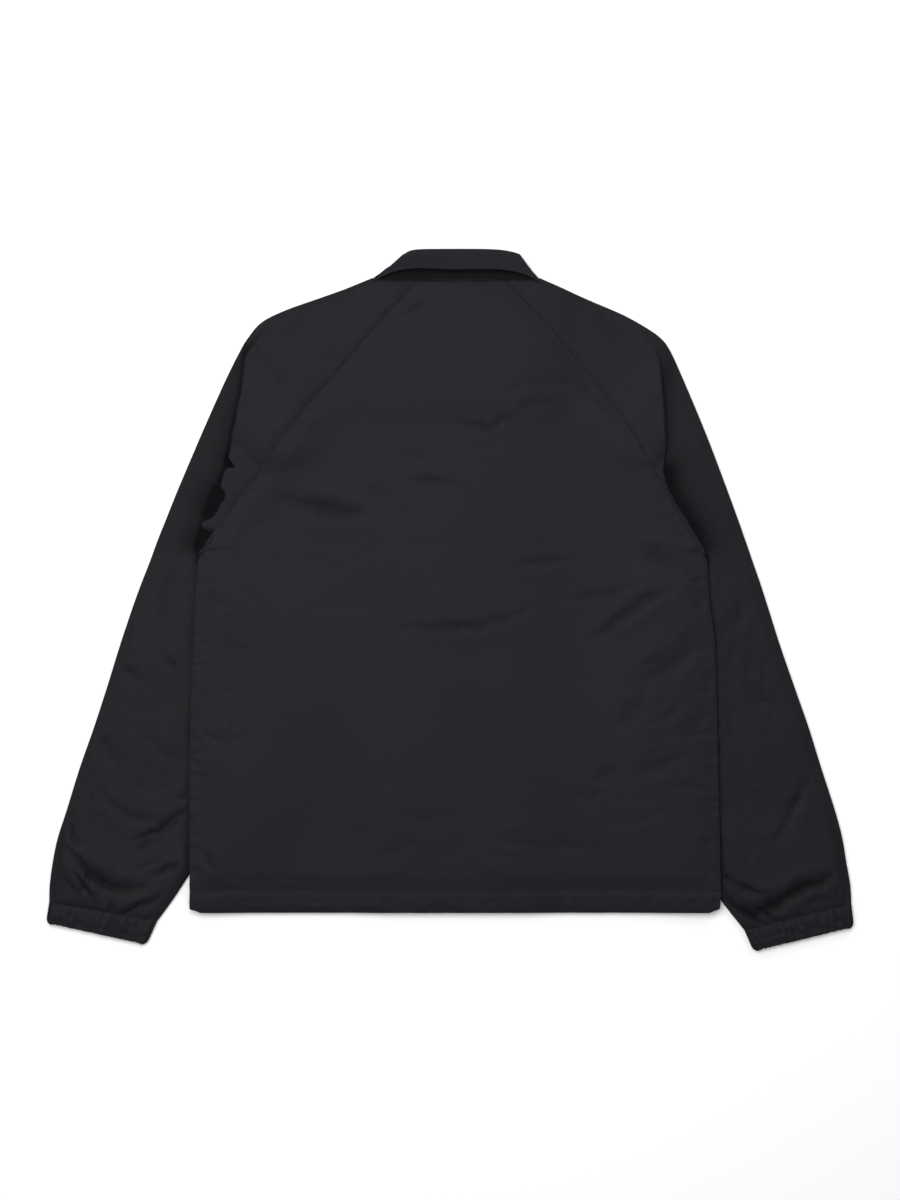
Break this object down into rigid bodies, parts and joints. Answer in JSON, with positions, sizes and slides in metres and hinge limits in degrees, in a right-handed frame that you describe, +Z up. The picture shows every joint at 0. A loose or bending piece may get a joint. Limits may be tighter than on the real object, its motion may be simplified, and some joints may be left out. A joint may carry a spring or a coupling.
{
  "type": "jacket laid flat",
  "caption": "Collared nylon jacket with raglan sleeves, gathered elastic cuffs and a stitched hem casing, laid flat face down with its sleeves tucked beneath the body",
  "frame": {"origin": "centre of the garment's outline, on the surface that it lies on", "axes": "+X towards the wearer's right sleeve, +Y from the hem to the collar, +Z up, out of the jacket's back"},
  "size_m": [0.888, 0.771, 0.019],
  "materials": {
    "shell": "black nylon cloth, soft low sheen",
    "casing": "black nylon cloth, doubled and gathered"
  },
  "bodies": {
    "root": {"back_panel": "shell", "front_left": "shell", "front_right": "shell", "sleeve_left": "shell", "sleeve_right": "shell", "collar_stand": "shell", "collar_fall": "shell", "cuff_left": "casing", "cuff_right": "casing", "hem_back": "casing", "hem_front_left": "casing", "hem_front_right": "casing"}
  },
  "joints": []
}
